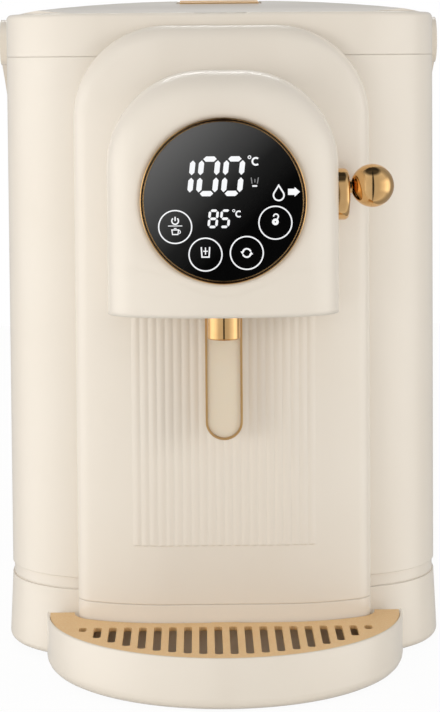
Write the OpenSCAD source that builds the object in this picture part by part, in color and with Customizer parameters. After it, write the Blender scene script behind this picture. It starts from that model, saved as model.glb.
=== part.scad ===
// Countertop hot water dispenser: tank body, dispensing head, levers, lid, carrying handle and drip tray.
// Sizes are in mm. The table is z = 0, the front faces -Y and +X is on the right of the front.

/* [Body] */
// Width of the body
body_w = 215; // [205:1:225]
// Depth of the body
body_d = 215; // [210:1:222]
// Radius of the upright corners
body_corner_r = 48; // [44:1:52]
// Height of the seam between body and collar
seam_z = 297; // [286:1:305]
// Height of the base skirt
base_h = 35.5; // [33:0.5:38]
// Wall of the moulded shells
wall = 2.5; // [2:0.1:2.8]

/* [Column] */
// Width of the raised column
column_w = 143; // [134:1:146]
// How far the column stands out of the body
column_raise = 23; // [21:1:26]
// Corner radius of the column's arched top
column_r = 45; // [42:1:48]
// Radius of the column's outer edge
column_edge_r = 12; // [8:1:15]
// Radius of the crown between the column's edge and its flat middle
column_crown_r = 90; // [80:5:140]
// Number of upright ribs
rib_count = 22; // [10:2:22]
// Distance from rib to rib
rib_pitch = 4; // [3.4:0.1:4.2]
// Height of a rib
rib_h = 0.4; // [0.3:0.1:1]

/* [Dispensing head] */
// Width of the head
head_w = 108; // [104:1:114]
// Height of the head
head_h = 113; // [108:1:120]
// How far the head stands out of the column
head_reach = 46; // [44:1:50]
// Corner radius of the head's top
head_r = 45; // [40:1:50]
// Radius of the head's outer edge
head_edge_r = 20; // [14:1:22]
// Radius of the crown between the head's edge and its flat middle
head_crown_r = 100; // [90:5:160]
// Outside diameter of the display ring
display_d = 76; // [64:0.5:77]
// Outside diameter of the nozzle
nozzle_d = 15.5; // [14:0.5:18]
// Length of the nozzle below the head
nozzle_drop = 11.5; // [8:0.5:16]

/* [Levers] */
// Width of the cup lever
cup_lever_w = 17.5; // [15:0.5:18]
// Length of the cup lever below the head
cup_lever_drop = 61; // [48:0.5:62]
// Diameter of the lever ball
ball_d = 20.5; // [16:0.5:23]
// Diameter of the rosette behind the ball lever
rosette_d = 24.5; // [22:0.5:26]

/* [Lid and handle] */
// Rise of the lid's dome above the rim
lid_rise = 7.9; // [6:0.1:11]
// Width of the lid's release lever
release_w = 40; // [34:1:60]
// Thickness of the handle's arms
bail_t = 7; // [5.5:0.5:8]
// Height of the handle's bar
bail_h = 18; // [14:1:20]

/* [Drip tray] */
// Radius of the half-round tray
tray_r = 87; // [82:0.5:90]
// Height of the tray's rim
tray_z = 25.6; // [20:0.1:28]
// Number of slots in the grille
slot_count = 20; // [12:2:20]
// Plain end of the grille beside its outermost slots
slot_margin = 15.5; // [14:0.5:20]
// Width of a slot
slot_w = 3.7; // [2.5:0.1:4]

/* [Hidden] */
$fn = 64;
// Gap between fixed pieces that seat on each other
gap = 0.05;
// Running gap of a pivot
run = 0.05;
// Gap around moving pieces
clear = 0.4;
hw = body_w / 2;
hd = body_d / 2;
br = body_corner_r;
body_z0 = base_h + 0.4;
foot_z1 = base_h - 2;
column_z0 = foot_z1 + 0.2;
skirt_r = 3.5;
skirt_flare = 1.5;
band_z1 = body_z0 + 5.7;
base_z0 = 2;
collar_z0 = seam_z + 0.3;
deck_under = seam_z + 5;
deck_z = seam_z + 11;
rim_z = seam_z + 21.3;
rim_w = 4.5;
lip_in = wall + 0.1;
rim_edge = 2.6;
lid_gap = 0.6;
lid_z0 = deck_z + 2;
lid_edge_z = rim_z - 0.2;
lid_top = lid_edge_z + lid_rise;
lid_hw = hw - rim_w - lid_gap;
lid_hd = hd - rim_w - lid_gap;
lid_r = br - rim_w - lid_gap;
liner_z1 = lid_z0 + 2;
hinge_y = lid_hd - 4.4;
hinge_z = seam_z + 22;
knuckle_r = 3.2;
lid_pin_r = 1.5;
tank_r = min(hw, hd) - 19.5;
tank_t = 1.2;
tank_z0 = 60;
tank_z1 = deck_under - 1.4;
floor_top = tank_z0 + 12;
mouth_r = tank_r - 8;
col_hw = column_w / 2;
col_y0 = -hd;
col_front = -hd - column_raise;
col_top = seam_z + 15;
head_hw = head_w / 2;
head_front = col_front - head_reach;
head_top = col_top - 21.5;
head_bot = head_top - head_h;
floor_t = 2.5;
display_z = head_top - 59.5;
display_r = display_d / 2;
chin_z = display_z - display_r + 6.6;
chin_w = display_d + 4;
chin_dip = 12;
chin_step = 0.2;
bezel_w = 1.7;
nozzle_r = nozzle_d / 2;
nozzle_y = head_front + 16.5;
hose_r = 6.5;
hose_bore = 5;
hose_y = -hd - column_raise / 2 + 2;
hose_z = head_bot + 30.5;
top_bend = 14;
low_bend = 16;
sump_y = -52;
pump_z = 23.5;
plate_z1 = base_z0 + 3.6;
cup_y = col_front - 15.5;
cup_z = head_bot + 8.5;
cup_hw = cup_lever_w / 2;
cup_low = head_bot - cup_lever_drop;
cup_rim_t = 1;
cup_pin_r = 1.5;
lever_x = head_hw - 24;
lever_y = col_front - 9.5;
lever_z = display_z + 2.5;
lever_tilt = 2.8;
lever_pin_r = 2;
stem_r = 3;
ball_r = ball_d / 2;
ball_far = head_hw + 6.6 + ball_r - lever_x;
rosette_t = 5.6;
rosette_z = display_z + 0.6;
slot_half = 3.75;
seat_z = lever_z - 17.5;
spring_x = lever_x + 12;
release_front = -lid_hd + 45.4;
release_len = 35;
release_y = release_front + 3;
release_z = lid_z0 + 12.1;
barrel_r = 1.8;
release_pin_r = 1;
pocket_z = lid_z0 + 9.7;
pocket_hw = release_w / 2 + 1.5;
pocket_y1 = release_front + release_len + 12;
bolt_z0 = liner_z1 + 0.3;
bolt_tip = -lid_hd - 3.4;
bolt_back = release_y + 8;
spring_stop = release_y + 22.4;
vent_y = 40;
vent_r = 9;
vent_lip = 4;
vent_t = 0.9;
vent_z = dome(vent_y, lid_hd) + 1.2;
bail_y = 0;
bail_z = seam_z + 8;
bail_tilt = 30;
bail_x0 = hw + 1;
bail_x1 = bail_x0 + bail_t;
bail_in = (hd + 2.5 + bail_h / 2 * sin(bail_tilt)) / cos(bail_tilt);
bail_out = bail_in + bail_t;
bail_pin_r = 5;
tray_y = -hd - 2;
tray_front = tray_y - tray_r;
tray_z0 = 1;
tray_wall = 1.2;
ledge = 2.2;
grille_t = 2;
slot_pitch = 2 * (tray_r - slot_margin) / slot_count;
grille_z = tray_z - grille_t - 0.3;
foot_gap = 0.5;
tab_hw = 6.7;
tab_len = 1;
tab_y = col_front - foot_gap - clear;
inlet_z = 19;
rear_reach = bail_out * cos(bail_tilt) + bail_h / 2 * sin(bail_tilt);
axis_y = (-tray_front - rear_reach) / 2;
ivory = "#e9e0d0";
gold = "#d3a868";
steel = "#c3c4c6";
dark = "#202124";
grey = "#8d8f92";
silicone = "#e4e2dc";

// Helpers

// Puts the pot axis behind the middle of the footprint
module in_row() {
  translate([0, axis_y, 0]) children();
}

// Points of an arc
function arc(cx, cy, r, a0, a1, n) =
  [for (i = [0 : n]) [cx + r * cos(a0 + (a1 - a0) * i / n), cy + r * sin(a0 + (a1 - a0) * i / n)]];

// Where the small arc of an edge profile starts
function edge_start(a, w, r1, r2) = w - r2 + sqrt(pow(r2 - r1, 2) - pow(a - r1, 2));

// Angle at which the two arcs of an edge profile meet
function edge_turn(a, w, r1, r2) = atan2(edge_start(a, w, r1, r2) - w + r2, r1 - a);

// Edge profile of two arcs, from the side wall to the flat front, shrunk by t
function edge(a, w, r1, r2, t) = concat(
  arc(r1, edge_start(a, w, r1, r2), r1 - t, 180, edge_turn(a, w, r1, r2), 7),
  [for (i = [1 : 7])
    let (q = edge_turn(a, w, r1, r2) + (90 - edge_turn(a, w, r1, r2)) * i / 7)
    [a + (r2 - t) * cos(q), w - r2 + (r2 - t) * sin(q)]]
);

// Plan outline of a pillow, open to the back at yb
function pillow_plan(half, a, y0, w, r1, r2, t, yb) = concat(
  [[-(half - t), yb]],
  [for (p = edge(a, w, r1, r2, t)) [-(half - p[0]), y0 - p[1]]],
  [for (k = [14 : -1 : 0]) let (p = edge(a, w, r1, r2, t)[k]) [half - p[0], y0 - p[1]]],
  [[half - t, yb]]
);

// Arched pillow that stands out of a plane, with edges of two arcs
module pillow(half, top, a, y0, w, r1, r2, t, zb, yb) {
  zc = top - a;
  e = edge(a, w, r1, r2, t);
  translate([0, 0, zb])
    linear_extrude(zc - zb)
      polygon(pillow_plan(half, a, y0, w, r1, r2, t, yb));
  rotate([90, 0, 90])
    linear_extrude(2 * (half - a), center = true)
      polygon(concat([[yb, zc], [yb, top - t]], [for (p = e) [y0 - p[1], top - p[0]]]));
  for (s = [0, 1])
    mirror([s, 0, 0])
      translate([half - a, y0, zc])
        rotate([90, 0, 0])
          rotate_extrude(angle = 90)
            polygon(concat([[0, y0 - yb], [a - t, y0 - yb]], [for (p = e) [a - p[0], p[1]]]));
}

module column_pillow(t, zb, yb) {
  pillow(col_hw, col_top, column_r, col_y0, column_raise, column_edge_r, column_crown_r, t, zb, yb);
}

module head_pillow(t, zb, yb) {
  pillow(head_hw, head_top, head_r, col_front, head_reach, head_edge_r, head_crown_r, t, zb, yb);
}

module head_plan(t, yb) {
  polygon(pillow_plan(head_hw, head_r, col_front, head_reach, head_edge_r, head_crown_r, t, yb));
}

module column_plan(t, yb) {
  polygon(pillow_plan(col_hw, column_r, col_y0, column_raise, column_edge_r, column_crown_r, t, yb));
}

// How far the column stands out at a distance u from its side
function column_depth(u) =
  u >= column_r ? column_raise
    : column_raise - column_crown_r + sqrt(pow(column_crown_r, 2) - pow(column_r - u, 2));

// Quarter disc
module quarter(r) {
  intersection() {
    circle(r);
    square(r);
  }
}

// Rounded rectangle
module plan(a, b, r) {
  polygon([
    [a - r, -b], [a - r, r - b], [a, r - b], [a, b - r], [a - r, b - r], [a - r, b],
    [r - a, b], [r - a, b - r], [-a, b - r], [-a, r - b], [r - a, r - b], [r - a, -b]
  ]);
  for (i = [0, 1], j = [0, 1])
    mirror([i, 0])
      mirror([0, j])
        translate([a - r, b - r])
          quarter(r);
}

module prism(a, b, r, z0, z1) {
  translate([0, 0, z0])
    linear_extrude(z1 - z0)
      plan(a, b, r);
}

// Sweeps a profile around a rounded rectangle
module ring_sweep(a, b, r) {
  for (i = [0, 1])
    mirror([i, 0, 0])
      translate([a, 0, 0])
        rotate([90, 0, 0])
          linear_extrude(2 * (b - r), center = true)
            children();
  for (j = [0, 1])
    mirror([0, j, 0])
      rotate([0, 0, 90])
        translate([b, 0, 0])
          rotate([90, 0, 0])
            linear_extrude(2 * (a - r), center = true)
              children();
  for (i = [0, 1], j = [0, 1])
    mirror([i, 0, 0])
      mirror([0, j, 0])
        translate([a - r, b - r, 0])
          rotate_extrude(angle = 90)
            translate([r, 0])
              children();
}

// Box from two corners
module block(p, q) {
  translate(p) cube(q - p);
}

// Rod along X from x0 to x1
module rod_x(x0, x1, y, z, r) {
  translate([x0, y, z]) rotate([0, 90, 0]) cylinder(h = x1 - x0, r = r);
}

// Rod along Y from y0 to y1
module rod_y(y0, y1, x, z, r) {
  translate([x, y1, z]) rotate([90, 0, 0]) cylinder(h = y1 - y0, r = r);
}

// Coil spring along Z as one tube
function coil_point(i, j, n, big, small, turns, len) =
  let (a = 360 * turns * i / n, b = 72 * j)
  [(big + small * cos(b)) * cos(a), (big + small * cos(b)) * sin(a), len * i / n + small * sin(b)];

module coil(big, small, turns, len) {
  n = 12 * turns;
  pts = [for (i = [0 : n], j = [0 : 4]) coil_point(i, j, n, big, small, turns, len)];
  sides = [for (i = [0 : n - 1], j = [0 : 4])
    [5 * i + j, 5 * i + 5 + j, 5 * i + 5 + (j + 1) % 5, 5 * i + (j + 1) % 5]];
  polyhedron(pts, concat([[0, 1, 2, 3, 4]], [[5 * n + 4, 5 * n + 3, 5 * n + 2, 5 * n + 1, 5 * n]], sides));
}

// Hose section
module hose_plan() {
  difference() {
    circle(hose_r);
    circle(hose_bore + gap);
  }
}

// Quarter bend of the hose in the YZ plane
module hose_bend(y, z, r, a) {
  translate([0, y, z])
    rotate([90, 0, 90])
      rotate([0, 0, a])
        rotate_extrude(angle = 90)
          translate([r, 0])
            hose_plan();
}

// Height of the lid's dome along one axis
function dome_r(half) = (half * half + lid_rise * lid_rise) / (2 * lid_rise);
function dome(v, half) = lid_top - dome_r(half) + sqrt(pow(dome_r(half), 2) - v * v);

// Outline under the dome along one axis
function dome_cut(half, drop) = concat(
  [[half + 3, lid_z0 - 2], [-half - 3, lid_z0 - 2]],
  [for (i = [-8 : 8]) [(half + 3) * i / 8, dome((half + 3) * i / 8, half) - drop]]
);

module lid_solid(t, drop, z0) {
  intersection() {
    prism(lid_hw - t, lid_hd - t, lid_r - t, z0, lid_top + 5);
    rotate([90, 0, 0]) linear_extrude(4 * hd, center = true) polygon(dome_cut(lid_hw, drop));
    rotate([90, 0, 90]) linear_extrude(4 * hw, center = true) polygon(dome_cut(lid_hd, drop));
  }
}

// Body and base

module body_shell() {
  color(ivory) in_row() difference() {
    prism(hw, hd, br, body_z0, seam_z);
    prism(hw - wall, hd - wall, br - wall, body_z0 - 1, seam_z + 1);
    difference() {
      prism(hw + 2, hd + 2, br + 2, body_z0 - 1, band_z1);
      prism(hw - 0.8, hd - 0.8, br - 0.8, body_z0 - 2, band_z1 + 1);
    }
  }
}

// Outer form of the skirt with its rounded lower edge
module skirt_form() {
  z0 = base_z0;
  zr = z0 + skirt_r;
  f = skirt_flare;
  xr = f - skirt_r;
  polygon([[-14, z0], [xr, z0], [xr, zr], [f, zr], [0, base_h], [-14, base_h]]);
  polygon(concat([[xr, zr]], arc(xr, zr, skirt_r, -90, 0, 6)));
}

// Wall, rounded lower edge and inner flange of the skirt
module base_profile() {
  z0 = base_z0;
  zr = z0 + skirt_r;
  f = skirt_flare;
  difference() {
    skirt_form();
    polygon([[-15, z0 + 2], [f - skirt_r, z0 + 2], [f - skirt_r, zr], [f - wall, zr], [-wall, base_h + 1],
      [-15, base_h + 1]]);
    polygon(concat([[f - skirt_r, zr]], arc(f - skirt_r, zr, skirt_r - wall, -90, 0, 6)));
  }
}

module base_housing() {
  color(ivory) in_row() difference() {
    ring_sweep(hw, hd, br) base_profile();
    block([wall - col_hw, -hd - 2, base_z0 + 2], [col_hw - wall, -hd + 4, base_h + 1]);
    block([-13 - gap, hd - 8, inlet_z - 9 - gap], [13 + gap, hd + 4, inlet_z + 9 + gap]);
    for (i = [-1, 1], j = [-1, 1])
      translate([i * (hw - 11.5), j * 45, 0]) cylinder(h = 8, r = 1.7, $fn = 24);
  }
}

// Lowest piece of the column, in front of the skirt
module column_foot() {
  color(ivory) in_row() difference() {
    translate([0, 0, base_z0]) linear_extrude(foot_z1 - base_z0) column_plan(0, -hd + 6);
    translate([0, 0, base_z0 + 2]) linear_extrude(base_h) column_plan(wall, -hd + 7);
    ring_sweep(hw + gap, hd + gap, br + gap) skirt_form();
    for (s = [-1, 1])
      block([s * 40 - 4.4, col_front - 1, 9.6], [s * 40 + 4.4, col_front + 6, 13.4]);
  }
}

module base_plate() {
  color(ivory) in_row() difference() {
    union() {
      prism(hw - 14.3, hd - 14.3, br - 14.3, base_z0, base_z0 + 2.5);
      prism(hw - 8.5, hd - 8.5, br - 8.5, base_z0 + 2 + gap, plate_z1);
      for (i = [28, 82], j = [4, 66])
        translate([i, j, plate_z1 - 1]) cylinder(h = 9.4, r = 3.5, $fn = 24);
    }
    for (i = [-1, 1], j = [-1, 1])
      translate([i * (hw - 11.5), j * 45, 0]) cylinder(h = 20, r = 1.5, $fn = 24);
    for (i = [0 : 6])
      block([-60 + 6 * i, 20, 0], [-57 + 6 * i, 60, 10]);
  }
}

module foot_pads() {
  color(dark) in_row()
    for (i = [-1, 1], j = [-1, 1])
      translate([i * (hw - 33), j * (hd - 33), 0]) cylinder(h = base_z0, r = 9);
}

module base_screws() {
  color(steel) in_row()
    for (i = [-1, 1], j = [-1, 1])
      translate([i * (hw - 11.5), j * 45, 0]) {
        translate([0, 0, base_z0 - 1.2]) cylinder(h = 1.2, r = 3, $fn = 32);
        translate([0, 0, base_z0 - 0.5]) cylinder(h = 8, r = 1.45, $fn = 24);
      }
}

// Collar, column and head

module collar() {
  color(ivory) in_row() {
    difference() {
      union() {
        prism(hw, hd, br, collar_z0, rim_z - 3);
        ring_sweep(hw, hd, br)
          polygon(concat(
            [[-rim_w, rim_z - 3], [0, rim_z - 3]],
            arc(-rim_edge, rim_z - rim_edge, rim_edge, 0, 90, 4),
            [[-rim_w, rim_z]]
          ));
      }
      prism(hw - rim_w, hd - rim_w, br - rim_w, deck_under - gap, rim_z + 1);
      prism(hw - rim_w - ledge, hd - rim_w - ledge, br - rim_w - ledge, seam_z - 1, deck_z);
      prism(hw - wall, hd - wall, br - wall, seam_z - 1, deck_under - 2.2);
      block([-12.6, bolt_tip - 0.7, liner_z1 - 0.5], [12.6, -lid_hd, rim_z + 1]);
      for (s = [0, 1])
        mirror([s, 0, 0]) rod_x(hw - rim_w + 0.2, hw + 1, bail_y, bail_z, bail_pin_r);
    }
    difference() {
      prism(hw - lip_in, hd - lip_in, br - lip_in, seam_z - 3, deck_under - 2.1);
      prism(hw - lip_in - 1.3, hd - lip_in - 1.3, br - lip_in - 1.3, seam_z - 4, deck_under);
    }
    for (s = [0, 1])
      mirror([s, 0, 0])
        difference() {
          union() {
            block([25, hinge_y - 4, deck_z + gap], [37, hd - rim_w + 0.5, hinge_z]);
            rod_x(25, 37, hinge_y, hinge_z, knuckle_r);
          }
          rod_x(24, 36, hinge_y, hinge_z, lid_pin_r);
        }
  }
}

// Plate around the tank's mouth, on the collar's ledge
module mouth_deck() {
  e = rim_w + gap;
  color(ivory) in_row() difference() {
    prism(hw - e, hd - e, br - e, deck_under, deck_z);
    translate([0, 0, deck_under - 1]) cylinder(h = 20, r = mouth_r);
  }
}

// Rib outline across the front of the column
function rib_points(n) = [for (i = [0 : 6 * n])
  let (x = rib_pitch * (i / 6 - n / 2))
  [x, col_y0 - column_depth(col_hw - abs(x)) - rib_h * abs(sin(30 * i))]];

function rib_back(n) = [for (i = [12 : -1 : 0])
  let (x = rib_pitch * n * (i / 12 - 0.5))
  [x, col_y0 - column_depth(col_hw - abs(x)) + 1.2]];

module front_column() {
  color(ivory) in_row() difference() {
    union() {
      difference() {
        column_pillow(0, column_z0, -hd + 4);
        column_pillow(wall, column_z0 - 1, -hd + 5);
      }
      translate([0, 0, body_z0 + 26.5])
        linear_extrude(head_bot - body_z0 - 27)
          polygon(concat(rib_points(rib_count), rib_back(rib_count)));
    }
    prism(hw + gap, hd + gap, br + gap, base_h - 0.5, rim_z);
    ring_sweep(hw + gap, hd + gap, br + gap) skirt_form();
    rod_y(col_front - 2, col_front + 8, 0, hose_z, hose_r + 2);
  }
}

module dispensing_head() {
  color(ivory) in_row() difference() {
    head_pillow(0, head_bot, col_front + 12);
    head_pillow(wall, head_bot - 1, col_front + 13);
    column_pillow(-gap, head_bot - 60, -hd + 6);
    rod_y(head_front - 4, head_front + 14, 0, display_z, display_r + gap);
    lever_slot(head_hw - 6, head_hw + 2);
    chin_cut();
  }
}

// Lower front of the head, set back below a soft curve under the display
module chin_cut() {
  w = chin_w / 2;
  curve = [for (i = [-8 : 8]) [w * i / 8, chin_z - chin_dip * (1 + cos(22.5 * i)) / 2]];
  low = head_bot - 1;
  intersection() {
    translate([0, 0, low])
      linear_extrude(chin_z - head_bot + 2)
        difference() {
          head_plan(-1, col_front + 8);
          translate([0, chin_step + gap]) head_plan(-gap, col_front + 9);
        }
    rotate([90, 0, 0])
      linear_extrude(500, center = true)
        polygon(concat([[-head_w, low], [-head_w, chin_z]], curve, [[head_w, chin_z], [head_w, low]]));
  }
}

// Upright slot for the stem of the ball lever
module lever_slot(x0, x1) {
  block([x0, lever_y - slot_half, rosette_z - 4.8], [x1, lever_y + slot_half, rosette_z + 4.6]);
  rod_x(x0, x1, lever_y, rosette_z - 4.8, slot_half);
  rod_x(x0, x1, lever_y, rosette_z + 4.6, slot_half);
}

module head_floor() {
  color(ivory) in_row() {
    difference() {
      translate([0, 0, head_bot])
        linear_extrude(floor_t)
          head_plan(wall + gap, col_front + 8);
      column_pillow(-2 * gap, head_bot - 60, -hd + 6);
      translate([0, nozzle_y, head_bot - 1]) cylinder(h = 6, r = hose_bore + gap);
      block([-cup_hw - 0.8, cup_y - 4, head_bot - 1], [cup_hw + 0.8, cup_y + 5.5, head_bot + 5]);
    }
    for (s = [0, 1])
      mirror([s, 0, 0])
        difference() {
          block([cup_hw + 1, cup_y - 4, head_bot + floor_t - 0.5], [cup_hw + 5, cup_y + 4, cup_z + 4.5]);
          rod_x(cup_hw, cup_hw + 6, cup_y, cup_z, cup_pin_r);
        }
  }
}

// Display

module bezel_ring() {
  r = display_r;
  color(gold) in_row() translate([0, head_front, display_z]) rotate([90, 0, 0])
    rotate_extrude($fn = 96)
      polygon([[r - bezel_w, -7], [r, -7], [r, 0.6], [r - 0.3, 0.9], [r - 0.6, 0.9], [r - 0.8, 0.2],
        [r - 1.1, 0.2], [r - 1.3, 0.8], [r - bezel_w, 0.8]]);
}

module display_glass() {
  color(dark) in_row() translate([0, head_front, display_z]) rotate([90, 0, 0])
    translate([0, 0, -1.4]) cylinder(h = 2, r = display_r - bezel_w - gap, $fn = 96);
}

module display_board() {
  color("#1d4030") in_row() translate([0, head_front, display_z]) rotate([90, 0, 0]) {
    translate([0, 0, -3]) cylinder(h = 1.6 - gap, r = display_r - bezel_w - 2 * gap);
    translate([-14, 6, -5.4]) cube([12, 9, 2.6]);
    translate([4, -12, -5]) cube([10, 8, 2.2]);
    translate([10, 12, -5.8]) cylinder(h = 3, r = 3, $fn = 24);
  }
}

// Nozzle and cup lever

module nozzle() {
  z0 = head_bot - nozzle_drop;
  r = nozzle_r;
  color(gold) in_row() translate([0, nozzle_y, 0])
    rotate_extrude()
      polygon([[4.6, z0], [r - 0.6, z0], [r, z0 + 0.6], [r, head_bot - gap], [hose_bore, head_bot - gap],
        [hose_bore, head_bot + 14], [3.5, head_bot + 14], [3.5, z0 + 6], [4.6, z0 + 5]]);
}

// Outline of the cup lever in the XZ plane, shrunk by t
module cup_outline(t, top) {
  r = cup_hw - t;
  zc = cup_low + cup_hw;
  translate([-r, zc]) square([2 * r, top - zc]);
  translate([0, zc])
    intersection() {
      circle(r);
      translate([-2 * r, -2 * r]) square([4 * r, 2 * r]);
    }
}

module cup_lever_rim() {
  color(gold) in_row() difference() {
    union() {
      translate([0, cup_y + 2.5, 0])
        rotate([90, 0, 0])
          linear_extrude(5)
            difference() {
              cup_outline(0, cup_z);
              cup_outline(cup_rim_t, cup_z + 1);
            }
      rod_x(-cup_hw, cup_hw, cup_y, cup_z, 3);
    }
    rod_x(-cup_hw - 1, cup_hw + 1, cup_y, cup_z, cup_pin_r + run);
  }
}

module cup_paddle() {
  color(silicone) in_row() translate([0, cup_y + 1.2, 0])
    rotate([90, 0, 0])
      linear_extrude(2.4)
        cup_outline(cup_rim_t + 0.02, cup_z - 3.4);
}

module cup_lever_pin() {
  color(steel) in_row() rod_x(-cup_hw - 5, cup_hw + 5, cup_y, cup_z, cup_pin_r);
}

module cup_switch() {
  z0 = head_bot + floor_t + gap;
  color(dark) in_row() {
    block([-6, cup_y + 6.4, z0], [6, cup_y + 12.4, z0 + 7.6]);
    rod_y(cup_y + 3, cup_y + 7, 0, z0 + 1.8, 1.2);
  }
}

// Ball lever

module lever_rosette() {
  r = rosette_d / 2;
  color(gold) in_row() difference() {
    translate([head_hw + gap, lever_y, rosette_z])
      rotate([0, 90, 0])
        rotate_extrude()
          polygon(concat([[0, 0], [r, 0]], arc(r - 2.6, rosette_t - 2.6, 2.6, 0, 90, 5), [[0, rosette_t]]));
    lever_slot(head_hw - 2, head_hw + 10);
  }
}

module lever_bracket() {
  x = lever_x;
  back = col_front - gap;
  color(grey) in_row() difference() {
    union() {
      block([x - 18, back - 2, lever_z - 22], [x + 10, back, lever_z + 18]);
      block([x - 6, back - 19, lever_z - 6], [x + 6, back - 17, lever_z + 13]);
      block([x - 6, back - 19, lever_z + 11], [x + 6, back, lever_z + 13]);
      block([x + 6, lever_y - 6, seat_z - 3], [x + 18, back - 1.2, seat_z]);
      block([x + 6, back - 4, seat_z - 3], [x + 10, back, seat_z + 3]);
    }
    rod_y(back - 20, back + 1, x, lever_z, lever_pin_r);
  }
}

module lever_pin() {
  color(steel) in_row() rod_y(col_front - gap - 19, col_front - gap, lever_x, lever_z, lever_pin_r);
}

module lever_spring() {
  color(steel) in_row() translate([spring_x, lever_y, seat_z + 0.6])
    coil(3, 0.45, 6, lever_z - 3.4 - seat_z);
}

module dispense_switch() {
  x = lever_x;
  color(dark) in_row() {
    block([x - 18, lever_y - 4, lever_z + 6.5], [x - 8, col_front - gap - 2 - gap, lever_z + 16]);
    translate([x - 11, lever_y, lever_z + 5.5]) cylinder(h = 2, r = 1, $fn = 24);
  }
}

module lever_stem() {
  color(gold) in_row() difference() {
    union() {
      rod_y(lever_y - 6, lever_y + 6, lever_x, lever_z, 5);
      translate([lever_x, lever_y, lever_z])
        rotate([0, 90 - lever_tilt, 0])
          cylinder(h = ball_far - ball_r / 2, r = stem_r);
      block([lever_x - 13, lever_y - 3, lever_z - 1.5], [lever_x - 3, lever_y + 3, lever_z + 1.5]);
    }
    rod_y(lever_y - 7, lever_y + 7, lever_x, lever_z, lever_pin_r + run);
  }
}

module lever_ball() {
  color(gold) in_row() translate([lever_x, lever_y, lever_z])
    rotate([0, 90 - lever_tilt, 0])
      difference() {
        translate([0, 0, ball_far]) sphere(ball_r, $fn = 64);
        cylinder(h = ball_far - ball_r / 2 + gap, r = stem_r + gap);
      }
}

// Tank, heater, pump and supply

module inner_tank() {
  r = tank_r;
  t = tank_t;
  color(steel) in_row()
    rotate_extrude($fn = 96)
      polygon([[r - t, floor_top + gap], [r, floor_top + gap], [r, tank_z1 - t], [r + 6, tank_z1 - t],
        [r + 6, tank_z1], [r - t, tank_z1]]);
}

// Pressed floor of the tank with a strainer over its spigot
module tank_floor() {
  r = tank_r;
  t = tank_t;
  z = tank_z0;
  color(steel) in_row() difference() {
    union() {
      rotate_extrude($fn = 96)
        polygon(concat([[0, z]], arc(r - 12, floor_top, 12, -90, 0, 6),
          arc(r - 12, floor_top, 12 - t, 0, -90, 6), [[0, z + t]]));
      translate([0, sump_y, z - 14]) cylinder(h = 14.5, r = hose_bore);
    }
    translate([0, sump_y, z - 15]) cylinder(h = 14.8, r = 3.5);
    for (i = [0 : 6])
      translate([i > 0 ? 2.2 * cos(60 * i) : 0, sump_y + (i > 0 ? 2.2 * sin(60 * i) : 0), z - 1])
        cylinder(h = 4, r = 0.8, $fn = 16);
  }
}

module tank_seal() {
  color(silicone) in_row() difference() {
    translate([0, 0, tank_z1]) cylinder(h = deck_under - tank_z1, r = tank_r + 5);
    translate([0, 0, tank_z1 - 1]) cylinder(h = 4, r = tank_r - 4);
  }
}

module heater_ring() {
  color(grey) in_row() difference() {
    translate([0, 0, tank_z0 - 7]) cylinder(h = 7, r = 42);
    translate([0, 0, tank_z0 - 8]) cylinder(h = 9, r = 20);
  }
}

module thermostat() {
  color(dark) in_row() {
    translate([0, 0, tank_z0 - 8]) cylinder(h = 8, r = 10);
    for (s = [-1, 1])
      block([s * 4 - 1, -3, tank_z0 - 15], [s * 4 + 1, 3, tank_z0 - 7.5]);
  }
}

module pump_housing() {
  z0 = pump_z - 7.1;
  color(dark) in_row() difference() {
    union() {
      translate([0, sump_y, z0]) cylinder(h = 14.6, r = 24);
      translate([0, sump_y, z0 + 14]) cylinder(h = 11.6, r = hose_bore);
      rod_y(sump_y - 36, sump_y - 15, 0, pump_z, hose_bore);
    }
    translate([0, sump_y, z0 + 2]) cylinder(h = 10.1, r = 21);
    translate([0, sump_y, z0 - 1]) cylinder(h = 5, r = 2);
    translate([0, sump_y, z0 + 11]) cylinder(h = 20, r = 3.5);
    rod_y(sump_y - 40, sump_y - 10, 0, pump_z, 3.5);
  }
}

module pump_motor() {
  color(steel) in_row() difference() {
    translate([0, sump_y, plate_z1]) cylinder(h = pump_z - 7.1 - plate_z1, r = 15);
    translate([0, sump_y, plate_z1 + 2]) cylinder(h = 20, r = 1.5 + run, $fn = 32);
  }
}

module pump_impeller() {
  z = pump_z - 4.3;
  color(grey) in_row() translate([0, sump_y, 0]) {
    translate([0, 0, z]) cylinder(h = 1.8, r = 18);
    translate([0, 0, z]) cylinder(h = 6.6, r = 4);
    translate([0, 0, plate_z1 + 2.6]) cylinder(h = z - plate_z1 - 2, r = 1.5, $fn = 32);
    for (k = [0 : 5])
      rotate([0, 0, 60 * k])
        block([3, -0.7, z + 1.5], [17, 0.7, z + 6]);
  }
}

module suction_hose() {
  color(silicone) in_row() translate([0, sump_y, pump_z + 9])
    linear_extrude(tank_z0 - pump_z - 15) hose_plan();
}

module riser_hose() {
  y1 = hose_y - top_bend;
  y2 = nozzle_y + top_bend;
  zb = hose_z - top_bend;
  color(silicone) in_row() {
    translate([0, sump_y - 26, pump_z])
      rotate([90, 0, 0])
        linear_extrude(sump_y - 26 - hose_y - low_bend) hose_plan();
    hose_bend(hose_y + low_bend, pump_z + low_bend, low_bend, 180);
    translate([0, hose_y, pump_z + low_bend])
      linear_extrude(zb - pump_z - low_bend) hose_plan();
    hose_bend(y1, zb, top_bend, 0);
    translate([0, y1, hose_z])
      rotate([90, 0, 0])
        linear_extrude(y1 - y2) hose_plan();
    hose_bend(y2, zb, top_bend, 90);
    translate([0, nozzle_y, head_bot + floor_t + 2])
      linear_extrude(zb - head_bot - floor_t - 2) hose_plan();
  }
}

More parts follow.
